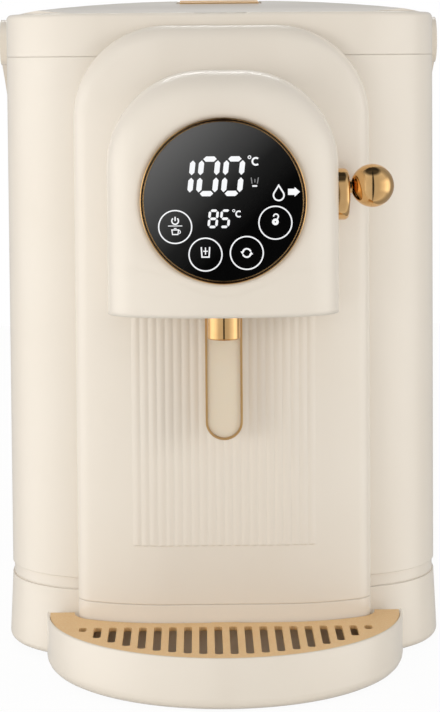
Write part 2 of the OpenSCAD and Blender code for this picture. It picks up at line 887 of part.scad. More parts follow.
module power_board() {
  color("#24603c") in_row() translate([0, 0, plate_z1 + 8.4 + gap]) {
    block([24, 0, 0], [86, 70, 1.6]);
    block([32, 10, 1.5], [50, 24, 14]);
    block([58, 12, 1.5], [76, 30, 10]);
    translate([40, 46, 1.5]) cylinder(h = 16, r = 7);
    block([56, 42, 1.5], [78, 58, 12]);
  }
}

module power_inlet() {
  f = skirt_flare;
  color(dark) in_row() difference() {
    union() {
      block([-13, hd - 16, inlet_z - 9], [13, hd + f + 1, inlet_z + 9]);
      block([-15.5, hd + f + gap, inlet_z - 11.5], [15.5, hd + f + 2.3, inlet_z + 11.5]);
    }
    block([-10.5, hd - 13, inlet_z - 6.5], [10.5, hd + 5, inlet_z + 6.5]);
  }
}

module inlet_pins() {
  color(steel) in_row()
    for (s = [-1, 1])
      block([s * 4.5 - 1, hd - 13, inlet_z - 2.5], [s * 4.5 + 1, hd - 3.5, inlet_z + 2.5]);
}

// Handle

// Outline of the bail from the pivots to its back bar
module bail_outline(x, y, r) {
  translate([-x, -1]) square([2 * x, y - r + 1]);
  translate([r - x, -1]) square([2 * (x - r), y + 1]);
  for (i = [0, 1])
    mirror([i, 0]) translate([x - r, y - r]) quarter(r);
}

module handle_bail() {
  color(ivory) in_row() translate([0, bail_y, bail_z]) rotate([-bail_tilt, 0, 0]) difference() {
    union() {
      linear_extrude(bail_h, center = true)
        difference() {
          bail_outline(bail_x1, bail_out, 44);
          translate([0, -1]) bail_outline(bail_x0, bail_in + 1, 44 - bail_t);
        }
      for (s = [0, 1])
        mirror([s, 0, 0]) rod_x(bail_x0, bail_x1, 0, 0, 12);
    }
    for (s = [0, 1])
      mirror([s, 0, 0]) rod_x(bail_x0 - 1, bail_x1 - 1, 0, 0, bail_pin_r + run);
  }
}

module handle_pins() {
  color(steel) in_row()
    for (s = [0, 1])
      mirror([s, 0, 0]) rod_x(hw - rim_w + 0.2, bail_x1 - 1.2, bail_y, bail_z, bail_pin_r);
}

module handle_washers() {
  color(dark) in_row()
    for (s = [0, 1])
      mirror([s, 0, 0])
        difference() {
          rod_x(hw + gap, hw + 0.6, bail_y, bail_z, 9);
          rod_x(hw - 1, hw + 2, bail_y, bail_z, bail_pin_r + gap);
        }
}

// Lid

module lid_cover() {
  color(ivory) in_row() difference() {
    union() {
      difference() {
        lid_solid(0, 0, lid_z0);
        lid_solid(wall, wall, lid_z0 - 1);
        block([-39, hinge_y - 5.5, lid_z0 - 2], [39, lid_hd + 5, lid_top + 5]);
      }
      intersection() {
        lid_solid(0, 0, lid_z0);
        union() {
          block([-pocket_hw - 2, release_front - 3, pocket_z - 1.4],
            [pocket_hw + 2, pocket_y1 + 2, lid_top + 1]);
          block([-39 - wall, hinge_y - 5.5 - wall, lid_z0], [39 + wall, hinge_y - 5.5, lid_top + 1]);
        }
      }
      block([-24, hinge_y - 6, hinge_z - knuckle_r], [24, hinge_y, hinge_z + 2.2]);
      rod_x(-24, 24, hinge_y, hinge_z, knuckle_r);
    }
    block([-pocket_hw, release_front - 1, pocket_z], [pocket_hw, pocket_y1, lid_top + 5]);
    block([-5, release_y - 3, pocket_z - 3], [5, release_y + 6, pocket_z + 1]);
    block([-12.4, -lid_hd - 1, bolt_z0 - 0.6], [12.4, -lid_hd + 4, bolt_z0 + 3.5]);
    rod_x(-pocket_hw - 1.5, pocket_hw + 1.5, release_y, release_z, release_pin_r);
    rod_x(-30, 30, hinge_y, hinge_z, lid_pin_r + run);
    translate([0, vent_y, lid_z0]) cylinder(h = 40, r = vent_r + gap);
    translate([0, vent_y, vent_z - vent_t - gap]) cylinder(h = 10, r = vent_r + vent_lip + gap);
  }
}

module lid_liner() {
  r = mouth_r - 2.5;
  color(steel) in_row() difference() {
    union() {
      prism(lid_hw - wall - gap, lid_hd - wall - gap, lid_r - wall - gap, lid_z0, liner_z1);
      translate([0, 0, lid_z0 - 9]) cylinder(h = 10, r = r);
      block([-5, spring_stop, liner_z1 - 0.5], [5, spring_stop + 2, liner_z1 + 3.4]);
    }
    translate([0, 0, lid_z0 - 7.4]) cylinder(h = 20, r = r - 2);
    translate([0, vent_y, lid_z0 - 10]) cylinder(h = 5, r = 4);
    block([-42, hinge_y - 8.1, lid_z0 - 2], [42, lid_hd + 5, liner_z1 + 2]);
  }
  color(steel) in_row() difference() {
    translate([0, 0, lid_z0]) cylinder(h = 2, r = r - 1);
    translate([0, vent_y, lid_z0 - 1]) cylinder(h = 9, r = vent_r + gap);
  }
}

module lid_gasket() {
  color(silicone) in_row() difference() {
    translate([0, 0, deck_z + clear]) cylinder(h = lid_z0 - deck_z - clear, r = mouth_r + 5);
    translate([0, 0, deck_z]) cylinder(h = 4, r = mouth_r + 1);
  }
}

module steam_vent() {
  z1 = vent_z;
  color(ivory) in_row() translate([0, vent_y, 0]) difference() {
    union() {
      translate([0, 0, lid_z0]) cylinder(h = z1 - lid_z0, r = vent_r);
      translate([0, 0, z1 - vent_t]) cylinder(h = vent_t, r = vent_r + vent_lip);
    }
    translate([0, 0, lid_z0 - 1]) cylinder(h = z1 - lid_z0 - 1, r = vent_r - 2);
    for (k = [-2 : 2])
      block([k * 3 - 0.7, -4, z1 - 4], [k * 3 + 0.7, 4, z1 + 1]);
  }
}

module lid_hinge_pin() {
  color(steel) in_row() rod_x(-36, 36, hinge_y, hinge_z, lid_pin_r);
}

// Underside and top of the release lever at a place along Y
function release_top(y) = dome(y, lid_hd) + 0.4;

module release_lever() {
  n = 8;
  ys = [for (i = [0 : n]) release_front + release_len * i / n];
  color(gold) in_row() difference() {
    union() {
      rotate([90, 0, 90])
        linear_extrude(release_w, center = true)
          polygon(concat([for (y = ys) [y, release_top(y) - 2.4]],
            [for (i = [n : -1 : 0]) [ys[i], release_top(ys[i])]]));
      rod_x(-release_w / 2, release_w / 2, release_y, release_z, barrel_r);
      block([-4, release_y - 1, bolt_z0 + 0.9], [4, release_y + 1, release_z]);
    }
    rod_x(-40, 40, release_y, release_z, release_pin_r + run);
  }
}

module release_pin() {
  color(steel) in_row() rod_x(-pocket_hw - 1.5, pocket_hw + 1.5, release_y, release_z, release_pin_r);
}

module latch_bolt() {
  color(grey) in_row() difference() {
    block([-12, bolt_tip, bolt_z0], [12, bolt_back, bolt_z0 + 3]);
    block([-5, release_y - 2.6, bolt_z0 - 1], [5, release_y + 2.6, bolt_z0 + 5]);
  }
}

module latch_spring() {
  color(steel) in_row() translate([0, bolt_back + 0.4, bolt_z0 + 1.5])
    rotate([-90, 0, 0])
      coil(1.1, 0.3, 8, spring_stop - bolt_back - 0.8);
}

// Drip tray

// Half disc of the tray, cut back from its straight rear by back and around the foot by foot
module tray_void(r, back, foot, z0, z1) {
  difference() {
    intersection() {
      translate([0, tray_y, z0]) cylinder(h = z1 - z0, r = r, $fn = 96);
      block([-2 * r, tray_y - 2 * r, z0 - 1], [2 * r, tray_y - back, z1 + 1]);
    }
    translate([0, 0, z0 - 1]) linear_extrude(z1 - z0 + 2) column_plan(-foot_gap - foot, -hd + 20);
  }
}

module drip_tray() {
  color(ivory) in_row() {
    difference() {
      translate([0, tray_y, 0])
        rotate([0, 0, 180])
          rotate_extrude(angle = 180, $fn = 96)
            polygon(concat([[0, tray_z0]], arc(tray_r - 6, tray_z0 + 6, 6, -90, 0, 5),
              arc(tray_r - 0.8, tray_z - 0.8, 0.8, 0, 90, 3), [[0, tray_z]]));
      translate([0, 0, tray_z0 - 1]) linear_extrude(tray_z + 2) column_plan(-foot_gap, -hd + 20);
      tray_void(tray_r - tray_wall, -1, -foot_gap, grille_z, tray_z + 1);
      tray_void(tray_r - tray_wall - ledge, tray_wall + ledge, tray_wall + ledge, tray_z0 + 2.5,
        grille_z + 0.5);
    }
    for (s = [-1, 1])
      block([s * 40 - 4, col_front - foot_gap - 2, 10], [s * 40 + 4, col_front + 4.5, 13]);
  }
}

// Slot from y1 to y0 with its corners cut
module slot_plan(y1, y0) {
  w = slot_w / 2;
  c = slot_w / 4;
  polygon([
    [-w, y1 + c], [c - w, y1], [w - c, y1], [w, y1 + c],
    [w, y0 - c], [w - c, y0], [c - w, y0], [-w, y0 - c]
  ]);
}

module drip_grille() {
  r = tray_r - tray_wall - clear;
  far = r - 9;
  y0 = col_front - 10.5;
  color(gold) in_row() difference() {
    union() {
      tray_void(r, clear, clear + tab_len, grille_z + gap, grille_z + grille_t);
      block([-tab_hw, tab_y - tab_len - 1, grille_z + gap], [tab_hw, tab_y, grille_z + grille_t]);
    }
    for (i = [0 : slot_count - 1]) {
      x = slot_pitch * (i - (slot_count - 1) / 2);
      y1 = tray_y - sqrt(far * far - x * x) - slot_w / 2;
      translate([x, 0, grille_z - 1]) linear_extrude(6) slot_plan(y1, y0 + slot_w / 2);
    }
  }
}

body_shell();
base_housing();
column_foot();
base_plate();
foot_pads();
base_screws();
collar();
mouth_deck();
front_column();
dispensing_head();
head_floor();
bezel_ring();
display_glass();
display_board();
nozzle();
lever_rosette();
lever_bracket();
lever_pin();
lever_spring();
dispense_switch();
cup_lever_pin();
cup_switch();
inner_tank();
tank_floor();
tank_seal();
heater_ring();
thermostat();
pump_housing();
pump_motor();
pump_impeller();
suction_hose();
riser_hose();
power_board();
power_inlet();
inlet_pins();
handle_pins();
handle_washers();
handle_bail();
lid_hinge_pin();
lid_cover();
lid_liner();
lid_gasket();
steam_vent();
release_pin();
release_lever();
latch_bolt();
latch_spring();
lever_stem();
lever_ball();
cup_lever_rim();
cup_paddle();
drip_tray();
drip_grille();
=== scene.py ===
import math

import bmesh
import bpy
from mathutils import Matrix, Vector


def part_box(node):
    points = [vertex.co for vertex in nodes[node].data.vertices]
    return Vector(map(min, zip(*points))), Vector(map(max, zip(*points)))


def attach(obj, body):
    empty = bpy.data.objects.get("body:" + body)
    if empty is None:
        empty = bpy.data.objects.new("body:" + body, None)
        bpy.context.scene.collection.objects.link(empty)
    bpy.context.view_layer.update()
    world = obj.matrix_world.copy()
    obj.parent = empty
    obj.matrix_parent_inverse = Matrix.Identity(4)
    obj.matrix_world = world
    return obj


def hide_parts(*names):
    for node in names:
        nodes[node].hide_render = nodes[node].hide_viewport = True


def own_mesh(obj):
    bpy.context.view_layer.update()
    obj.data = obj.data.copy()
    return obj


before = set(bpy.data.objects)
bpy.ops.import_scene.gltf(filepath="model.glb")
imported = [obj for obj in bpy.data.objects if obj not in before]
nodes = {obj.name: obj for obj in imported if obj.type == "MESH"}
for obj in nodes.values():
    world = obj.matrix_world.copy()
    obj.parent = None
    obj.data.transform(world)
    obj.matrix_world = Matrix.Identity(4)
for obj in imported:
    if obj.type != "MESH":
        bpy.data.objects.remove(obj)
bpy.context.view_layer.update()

mm = 0.001
noiseSpan = {"From Min": 0.3, "From Max": 0.7}  # where nearly all values of a noise texture lie
edgeSamples = {"wide": 6, "fine": 4}  # rays that round an edge
mitreLimit = 0.4  # keeps the sharp corners of a drawn line from running out into spikes
print("frame loaded with", len(nodes), "nodes")


def linear(hexColour):
    # sRGB hex to the linear values that Blender works in
    parts = [int(hexColour[i:i + 2], 16) / 255 for i in (1, 3, 5)]
    return [p / 12.92 if p <= 0.04045 else ((p + 0.055) / 1.055) ** 2.4 for p in parts] + [1.0]


def perMetre(sizeMm):
    # texture scale whose features come out at this size
    return 1000 / sizeMm


def addNode(tree, kind, inputs=None, **settings):
    node = tree.nodes.new(kind)
    for name, value in settings.items():
        setattr(node, name, value)
    for key, value in (inputs or {}).items():
        if isinstance(value, bpy.types.NodeSocket):
            tree.links.new(value, node.inputs[key])
        else:
            node.inputs[key].default_value = value
    return node


def between(ends):
    # the values that a mapped range runs from and to
    return {"To Min": ends[0], "To Max": ends[1]}


def setStops(ramp, stops):
    while len(ramp.elements) < len(stops):
        ramp.elements.new(1.0)
    for element, (at, colour) in zip(ramp.elements, stops):
        element.position = at
        element.color = colour


def startMaterial(name):
    material = bpy.data.materials.new(name)
    material.use_nodes = True
    material.node_tree.nodes.clear()
    return material, material.node_tree


def endMaterial(tree, shader):
    addNode(tree, "ShaderNodeOutputMaterial", {"Surface": shader.outputs[0]})


def addObject(name, build, material):
    # turns a drawn mesh into an object of the scene, with its faces outward also on a thin ring
    bmesh.ops.recalc_face_normals(build, faces=build.faces)
    if build.calc_volume(signed=True) < 0:
        bmesh.ops.reverse_faces(build, faces=build.faces)
    mesh = bpy.data.meshes.new(name)
    build.to_mesh(mesh)
    build.free()
    mesh.materials.append(material)
    made = bpy.data.objects.new(name, mesh)
    bpy.context.scene.collection.objects.link(made)
    return made


def mitre(before, after):
    # sideways step at a corner that keeps a line's side at an even distance from it
    along = (before + after).normalized()
    across, straight = Vector((-along.y, along.x)), Vector((-after.y, after.x))
    return across / max(across.dot(straight), mitreLimit)


# Camera: a long lens level with the upper seam, a little to the left of the middle
cameraSet = {
    "place": (-0.0115, -1.1343, 0.297),
    "lensMm": 110.7,
    "sensorMm": 36,
    "pitchDown": 3.19,
    "turnRight": 0.58,
    "roll": -0.43,
    "shiftDown": 0.25,
}
cameraData = bpy.data.cameras.new("frontCamera")
cameraData.lens = cameraSet["lensMm"]
cameraData.sensor_width = cameraSet["sensorMm"]
cameraData.shift_y = -cameraSet["shiftDown"]
camera = bpy.data.objects.new("frontCamera", cameraData)
bpy.context.scene.collection.objects.link(camera)
camera.matrix_world = (
    Matrix.Translation(cameraSet["place"])
    @ Matrix.Rotation(math.radians(-cameraSet["turnRight"]), 4, "Z")
    @ Matrix.Rotation(math.radians(90 - cameraSet["pitchDown"]), 4, "X")
    @ Matrix.Rotation(math.radians(cameraSet["roll"]), 4, "Z")
)
bpy.context.scene.camera = camera
bpy.context.scene.view_settings.view_transform = "Standard"
print("camera placed")

# Studio: white surroundings and a pale floor that keeps the shadow. Mirrored rays meet panels instead: a bright
# one on each side, grey ones between, a dark roof, and a dark gap at the camera that draws the line down
# polished pieces
studio = {
    "fill": 0.6,
    # degrees round from the camera's side, left to right, and how bright the panel there is
    "panels": (
        (-180, 0.5), (-125, 0.4), (-105, 0.5), (-64, 0.85), (-36, 0.75), (-6.5, 0.65), (-4.5, 0.04),
        (4.5, 0.04), (6.5, 0.6), (36, 0.65), (80, 0.8), (105, 0.45), (125, 0.35), (180, 0.5)),
    "sideLights": (
        (-130, 0.0), (-100, 1.0), (-84, 1.0), (-36, 0.0),
        (30, 0.0), (62, 0.4), (84, 0.9), (98, 0.8), (112, 0.0)),
    "sideStrength": 1.0,
    # upward share of the direction, and how much of the panel is left there
    "sideReach": ((-0.5, 0.0), (-0.3, 1.0), (0.25, 1.0), (0.5, 0.0)),
    "roof": ((0.8, 1.0), (0.92, 0.1)),
    "floorTone": "#f6f4f0",
    "floorGlow": 0.95,
    "floorRadius": 1.3,
    "floorSides": 96,
    "floorDrop": 0.0002,
}
world = bpy.data.worlds.new("studioWorld")
bpy.context.scene.world = world
world.use_nodes = True
tree = world.node_tree
tree.nodes.clear()
outward = addNode(tree, "ShaderNodeTexCoord").outputs["Generated"]
facing = addNode(tree, "ShaderNodeSeparateXYZ", {0: outward}).outputs
towards = addNode(tree, "ShaderNodeMath", {0: facing["Y"], 1: -1.0}, operation="MULTIPLY")
turned = addNode(tree, "ShaderNodeMath", {0: facing["X"], 1: towards.outputs[0]}, operation="ARCTAN2")
turnShare = addNode(tree, "ShaderNodeMath", {
    0: turned.outputs[0], 1: 0.5 / math.pi, 2: 0.5}, operation="MULTIPLY_ADD")
riseShare = addNode(tree, "ShaderNodeMath", {0: facing["Z"], 1: 0.5, 2: 0.5}, operation="MULTIPLY_ADD")
shades = {}
for share, span, names in ((turnShare, 360, ("panels", "sideLights")), (riseShare, 2, ("sideReach", "roof"))):
    for name in names:
        ramp = addNode(tree, "ShaderNodeValToRGB", {"Fac": share.outputs[0]})
        setStops(ramp.color_ramp, [(0.5 + at / span, (grey, grey, grey, 1)) for at, grey in studio[name]])
        shades[name] = ramp.outputs[0]
sides = addNode(tree, "ShaderNodeMath", {
    0: shades["sideLights"], 1: shades["sideReach"]}, operation="MULTIPLY")
walls = addNode(tree, "ShaderNodeMath", {
    0: sides.outputs[0], 1: studio["sideStrength"], 2: shades["panels"]}, operation="MULTIPLY_ADD")
around = addNode(tree, "ShaderNodeMath", {0: walls.outputs[0], 1: shades["roof"]}, operation="MULTIPLY")
ray = addNode(tree, "ShaderNodeLightPath").outputs
seen = addNode(tree, "ShaderNodeMath", {
    0: ray["Is Camera Ray"], 1: ray["Is Transmission Ray"]}, operation="MAXIMUM")
shown = addNode(tree, "ShaderNodeMath", {0: seen.outputs[0], 1: ray["Is Glossy Ray"]}, operation="MAXIMUM")
unseen = addNode(tree, "ShaderNodeMath", {0: 1.0, 1: shown.outputs[0]}, operation="SUBTRACT")
level = addNode(tree, "ShaderNodeMath", {
    0: ray["Is Glossy Ray"], 1: around.outputs[0], 2: seen.outputs[0]}, operation="MULTIPLY_ADD")
strength = addNode(tree, "ShaderNodeMath", {
    0: unseen.outputs[0], 1: studio["fill"], 2: level.outputs[0]}, operation="MULTIPLY_ADD")
glow = addNode(tree, "ShaderNodeBackground", {"Color": (1, 1, 1, 1), "Strength": strength.outputs[0]})
addNode(tree, "ShaderNodeOutputWorld", {"Surface": glow.outputs[0]})

floorMaterial, tree = startMaterial("matte white studio floor")
ray = addNode(tree, "ShaderNodeLightPath").outputs
seen = addNode(tree, "ShaderNodeMath", {
    0: ray["Is Camera Ray"], 1: ray["Is Transmission Ray"]}, operation="MAXIMUM")
share = addNode(tree, "ShaderNodeMath", {0: seen.outputs[0], 1: studio["floorGlow"]}, operation="MULTIPLY")
matte = addNode(tree, "ShaderNodeBsdfDiffuse", {"Color": linear(studio["floorTone"])})
white = addNode(tree, "ShaderNodeEmission", {"Color": (1, 1, 1, 1), "Strength": 1.0})
endMaterial(tree, addNode(tree, "ShaderNodeMixShader", {
    0: share.outputs[0], 1: matte.outputs[0], 2: white.outputs[0]}))

build = bmesh.new()
bmesh.ops.create_circle(build, cap_ends=True, segments=studio["floorSides"], radius=studio["floorRadius"])
floor = addObject("studioFloor", build, floorMaterial)
floor.location.z = -studio["floorDrop"]
floor.visible_glossy = False

# Softboxes light the surfaces. Only the strip at the back is mirrored, because the panels give the reflections
lamps = {
    "leftSoftbox": {"place": (-1.6, -0.5, 0.48), "aim": (0, 0, 0.15), "size": (0.8, 0.9), "watts": 7.4},
    "frontSoftbox": {"place": (-0.95, -1.2, 0.24), "aim": (0, 0, 0.15), "size": (0.6, 0.44), "watts": 3.6},
    "rightSoftbox": {"place": (1.4, -0.95, 0.4), "aim": (0, 0, 0.1), "size": (0.7, 0.76), "watts": 7.2},
    "topSoftbox": {"place": (0.0, -0.25, 1.6), "aim": (0, 0, 0.1), "size": (1.2, 1.2), "watts": 0.9},
    "backStrip": {"place": (0.0, 1.15, 1.25), "aim": (0, 0, 0.25), "size": (1.0, 0.07), "watts": 2.6},
}
mirroredLamps = ("backStrip",)
for name, lamp in lamps.items():
    data = bpy.data.lights.new(name, "AREA")
    data.shape = "RECTANGLE"
    data.size, data.size_y = lamp["size"]
    data.energy = lamp["watts"]
    lampObject = bpy.data.objects.new(name, data)
    lampObject.location = lamp["place"]
    direction = Vector(lamp["aim"]) - Vector(lamp["place"])
    lampObject.rotation_euler = direction.to_track_quat("-Z", "Y").to_euler()
    lampObject.visible_camera = False
    lampObject.visible_glossy = name in mirroredLamps
    bpy.context.scene.collection.objects.link(lampObject)
print("studio lit with", len(lamps), "softboxes")

# Moulded ivory ABS: satin, with a painted sheen on the roundings (a paler tone mixed into the colour there), faint
# clouding and a fine spark-eroded grain.
# Pieces whose lines are drawn out softly in the mould get wider roundings
ivoryAbs = {
    "tone": "#eae1d4", "toneDeep": "#e6dccd", "cloudMm": 60,
    "grainMm": 0.9,  # the real grain is near 0.1 mm, drawn coarser so that it shows
    "grainDepthMm": 0.004, "grainStrength": 0.5,
    "smearMm": 28, "roughness": (0.34, 0.44), "ior": 1.53, "skin": 0.5, "skinRoughness": 0.1,
    "edgesMm": {"plain": 0.5, "ribbed": 1.0, "soft": 4.0}, "sheenTone": "#f0e8dc",
    "edgeBend": {"From Min": 0.99, "From Max": 0.85}, "edgeShare": (0.0, 0.7),
}
ivories = {}
for name, edgeMm in ivoryAbs["edgesMm"].items():
    ivories[name], tree = startMaterial("moulded ivory ABS, " + name)
    spot = addNode(tree, "ShaderNodeTexCoord").outputs["Object"]
    cloud = addNode(tree, "ShaderNodeTexNoise", {
        "Vector": spot, "Scale": perMetre(ivoryAbs["cloudMm"]), "Detail": 3})
    smear = addNode(tree, "ShaderNodeTexNoise", {
        "Vector": spot, "Scale": perMetre(ivoryAbs["smearMm"]), "Detail": 4})
    grain = addNode(tree, "ShaderNodeTexNoise", {
        "Vector": spot, "Scale": perMetre(ivoryAbs["grainMm"]), "Detail": 2})
    tone = addNode(tree, "ShaderNodeMix", {
        "Factor": cloud.outputs["Fac"], 6: linear(ivoryAbs["tone"]), 7: linear(ivoryAbs["toneDeep"])},
        data_type="RGBA")
    softEdge = addNode(tree, "ShaderNodeBevel", {"Radius": edgeMm * mm}, samples=edgeSamples["wide"])
    surface = addNode(tree, "ShaderNodeNewGeometry")
    bend = addNode(tree, "ShaderNodeVectorMath", {
        0: softEdge.outputs[0], 1: surface.outputs["Normal"]}, operation="DOT_PRODUCT")
    # painted sheen: a paler tone mixed into the colour on every rounding, where the bevelled normal turns away
    paintedSheen = addNode(tree, "ShaderNodeMapRange", {
        "Value": bend.outputs["Value"], **ivoryAbs["edgeBend"], **between(ivoryAbs["edgeShare"])})
    edged = addNode(tree, "ShaderNodeMix", {
        "Factor": paintedSheen.outputs[0], 6: tone.outputs[2], 7: linear(ivoryAbs["sheenTone"])}, data_type="RGBA")
    rough = addNode(tree, "ShaderNodeMapRange", {
        "Value": smear.outputs["Fac"], **noiseSpan, **between(ivoryAbs["roughness"])})
    bump = addNode(tree, "ShaderNodeBump", {
        "Strength": ivoryAbs["grainStrength"], "Distance": ivoryAbs["grainDepthMm"] * mm,
        "Height": grain.outputs["Fac"], "Normal": softEdge.outputs[0]})
    endMaterial(tree, addNode(tree, "ShaderNodeBsdfPrincipled", {
        "Base Color": edged.outputs[2], "Roughness": rough.outputs[0], "IOR": ivoryAbs["ior"],
        "Normal": bump.outputs[0], "Coat Weight": ivoryAbs["skin"],
        "Coat Roughness": ivoryAbs["skinRoughness"], "Coat Normal": softEdge.outputs[0]}))

# Polished gold plating: bright where it mirrors the panels, brown where it mirrors the dark gap, with fine
# buffing lines. On the display's ring the groove between the two lips is coloured near black: painted shade
goldPlate = {
    "tone": "#e9c188", "toneDeep": "#deb075", "cloudMm": 6,
    "buffAcrossMm": 0.35, "buffAlongMm": 9, "buffDepthMm": 0.0006, "buffStrength": 0.3, "edgeMm": 0.25,
    "roughness": {"mirror": (0.04, 0.08), "satin": (0.36, 0.48), "paintedGroove": (0.05, 0.1)},
    "grooveShade": "#241006", "grooveShadeMm": (36.85, 37.45),
}
displayMid = sum(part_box("bezel_ring"), Vector()) / 2
golds = {}
for name, roughness in goldPlate["roughness"].items():
    golds[name], tree = startMaterial("polished gold plating, " + name)
    spot = addNode(tree, "ShaderNodeTexCoord").outputs["Object"]
    cloud = addNode(tree, "ShaderNodeTexNoise", {
        "Vector": spot, "Scale": perMetre(goldPlate["cloudMm"]), "Detail": 3})
    across, along = perMetre(goldPlate["buffAcrossMm"]), perMetre(goldPlate["buffAlongMm"])
    lines = addNode(tree, "ShaderNodeMapping", {"Vector": spot, "Scale": (across, across, along)})
    buff = addNode(tree, "ShaderNodeTexNoise", {"Vector": lines.outputs[0], "Scale": 1.0, "Detail": 2})
    tone = addNode(tree, "ShaderNodeMix", {
        "Factor": cloud.outputs["Fac"], 6: linear(goldPlate["tone"]), 7: linear(goldPlate["toneDeep"])},
        data_type="RGBA")
    rough = addNode(tree, "ShaderNodeMapRange", {
        "Value": buff.outputs["Fac"], **noiseSpan, **between(roughness)})
    softEdge = addNode(tree, "ShaderNodeBevel", {
        "Radius": goldPlate["edgeMm"] * mm}, samples=edgeSamples["fine"])
    bump = addNode(tree, "ShaderNodeBump", {
        "Strength": goldPlate["buffStrength"], "Distance": goldPlate["buffDepthMm"] * mm,
        "Height": buff.outputs["Fac"], "Normal": softEdge.outputs[0]})
    look = {
        "Base Color": tone.outputs[2], "Metallic": 1.0, "Roughness": rough.outputs[0],
        "Normal": bump.outputs[0]}
    # painted shade: a near-black, non-metal band laid into the groove between the ring's two lips
    if name == "paintedGroove":
        inner, outer = (edge * mm for edge in goldPlate["grooveShadeMm"])
        centred = addNode(tree, "ShaderNodeVectorMath", {0: spot, 1: displayMid}, operation="SUBTRACT")
        flat = addNode(tree, "ShaderNodeVectorMath", {
            0: centred.outputs[0], 1: (1, 0, 1)}, operation="MULTIPLY")
        far = addNode(tree, "ShaderNodeVectorMath", {0: flat.outputs[0]}, operation="LENGTH")
        offLine = addNode(tree, "ShaderNodeMath", {
            0: far.outputs["Value"], 1: (inner + outer) / 2}, operation="SUBTRACT")
        clear = addNode(tree, "ShaderNodeMath", {0: offLine.outputs[0]}, operation="ABSOLUTE")
        plated = addNode(tree, "ShaderNodeMath", {
            0: clear.outputs[0], 1: (outer - inner) / 2}, operation="GREATER_THAN")
        groovePainted = addNode(tree, "ShaderNodeMix", {
            "Factor": plated.outputs[0], 6: linear(goldPlate["grooveShade"]), 7: tone.outputs[2]},
            data_type="RGBA")
        look.update({"Base Color": groovePainted.outputs[2], "Metallic": plated.outputs[0]})
    endMaterial(tree, addNode(tree, "ShaderNodeBsdfPrincipled", look))

# Sprayed gold paint: a tan satin with fine metal flake that sparkles a little
goldPaint = {
    "tone": "#f0cb94", "toneDeep": "#e7bf87", "cloudMm": 22,
    "flake": "#f3dcb4", "flakeMm": 0.5,  # real flake is near 0.05 mm, drawn coarser so that it shows
    "flakePick": {"From Min": 0.8, "From Max": 1.0}, "flakeShare": (0.0, 0.55),
    "metallic": 0.3, "roughness": (0.36, 0.5), "edgeMm": 0.35, "grainDepthMm": 0.004, "grainStrength": 0.4,
}
sprayedGold, tree = startMaterial("sprayed gold paint")
spot = addNode(tree, "ShaderNodeTexCoord").outputs["Object"]
cloud = addNode(tree, "ShaderNodeTexNoise", {
    "Vector": spot, "Scale": perMetre(goldPaint["cloudMm"]), "Detail": 3})
flakes = addNode(tree, "ShaderNodeTexVoronoi", {"Vector": spot, "Scale": perMetre(goldPaint["flakeMm"])})
flakeTone = addNode(tree, "ShaderNodeSeparateColor", {0: flakes.outputs["Color"]})
bright = addNode(tree, "ShaderNodeMapRange", {
    "Value": flakeTone.outputs[0], **goldPaint["flakePick"], **between(goldPaint["flakeShare"])})
tone = addNode(tree, "ShaderNodeMix", {
    "Factor": cloud.outputs["Fac"], 6: linear(goldPaint["tone"]), 7: linear(goldPaint["toneDeep"])},
    data_type="RGBA")
flaked = addNode(tree, "ShaderNodeMix", {
    "Factor": bright.outputs[0], 6: tone.outputs[2], 7: linear(goldPaint["flake"])}, data_type="RGBA")
rough = addNode(tree, "ShaderNodeMapRange", {"Value": flakeTone.outputs[1], **between(goldPaint["roughness"])})
softEdge = addNode(tree, "ShaderNodeBevel", {
    "Radius": goldPaint["edgeMm"] * mm}, samples=edgeSamples["fine"])
bump = addNode(tree, "ShaderNodeBump", {
    "Strength": goldPaint["grainStrength"], "Distance": goldPaint["grainDepthMm"] * mm,
    "Height": flakeTone.outputs[2], "Normal": softEdge.outputs[0]})
endMaterial(tree, addNode(tree, "ShaderNodeBsdfPrincipled", {
    "Base Color": flaked.outputs[2], "Metallic": goldPaint["metallic"], "Roughness": rough.outputs[0],
    "Normal": bump.outputs[0]}))
print("ivory and gold finishes made")

# Smoked display glass with a painted reflection: its colour fades from charcoal at the upper left to black
glassLow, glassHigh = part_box("display_glass")
glassMid = (glassLow + glassHigh) / 2
glassRadius = (glassHigh.x - glassLow.x) / 2
smokedGlassSet = {
    "stops": ((0.28, "#050505"), (0.5, "#1e1e1e"), (0.76, "#484848"), (1.0, "#646464")),
    "reflectionTowards": (-0.7071, 0, 0.7071),
    "smearMm": 14, "smearSpan": {"From Min": 0.35, "From Max": 0.7},
    "roughness": (0.05, 0.12), "ior": 1.5, "specular": 0.25,
}
smokedGlass, tree = startMaterial("smoked display glass")
spot = addNode(tree, "ShaderNodeTexCoord").outputs["Object"]
centred = addNode(tree, "ShaderNodeVectorMath", {0: spot, 1: glassMid}, operation="SUBTRACT")
slope = addNode(tree, "ShaderNodeVectorMath", {
    0: centred.outputs[0], 1: smokedGlassSet["reflectionTowards"]}, operation="DOT_PRODUCT")
# painted reflection: the glass's own colour runs from charcoal at the upper left to black
fade = addNode(tree, "ShaderNodeMapRange", {
    "Value": slope.outputs["Value"], "From Min": -glassRadius, "From Max": glassRadius})
paintedReflection = addNode(tree, "ShaderNodeValToRGB", {"Fac": fade.outputs[0]})
setStops(paintedReflection.color_ramp, [(at, linear(hexColour)) for at, hexColour in smokedGlassSet["stops"]])
smear = addNode(tree, "ShaderNodeTexNoise", {
    "Vector": spot, "Scale": perMetre(smokedGlassSet["smearMm"]), "Detail": 4})
rough = addNode(tree, "ShaderNodeMapRange", {
    "Value": smear.outputs["Fac"], **smokedGlassSet["smearSpan"], **between(smokedGlassSet["roughness"])})
endMaterial(tree, addNode(tree, "ShaderNodeBsdfPrincipled", {
    "Base Color": paintedReflection.outputs[0], "Roughness": rough.outputs[0], "IOR": smokedGlassSet["ior"],
    "Specular IOR Level": smokedGlassSet["specular"]}))

